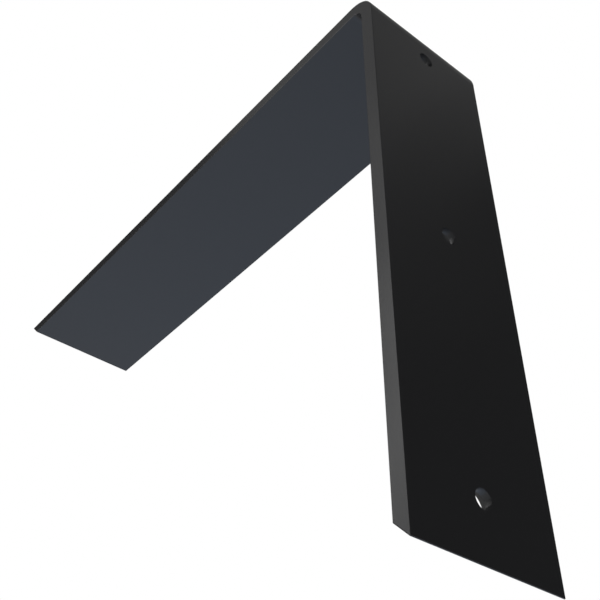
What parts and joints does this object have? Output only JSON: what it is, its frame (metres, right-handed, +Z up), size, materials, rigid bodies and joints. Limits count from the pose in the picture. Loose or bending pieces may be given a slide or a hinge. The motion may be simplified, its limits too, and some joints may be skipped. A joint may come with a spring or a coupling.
{
  "type": "countertop support bracket",
  "caption": "L-shaped flat steel bracket that carries an overhanging countertop from a wall, with countersunk screw holes in its wall leg.",
  "frame": {"origin": "centre of the row of screw holes, on the back face that meets the wall", "axes": "+X along the counter arm, away from the wall; +Y across the bar's width; +Z up the wall leg to the countertop"},
  "size_m": [0.3048, 0.0636, 0.254],
  "materials": {
    "powder_coat": "satin black powder coat"
  },
  "bodies": {
    "root": {"bracket": "powder_coat"}
  },
  "joints": []
}
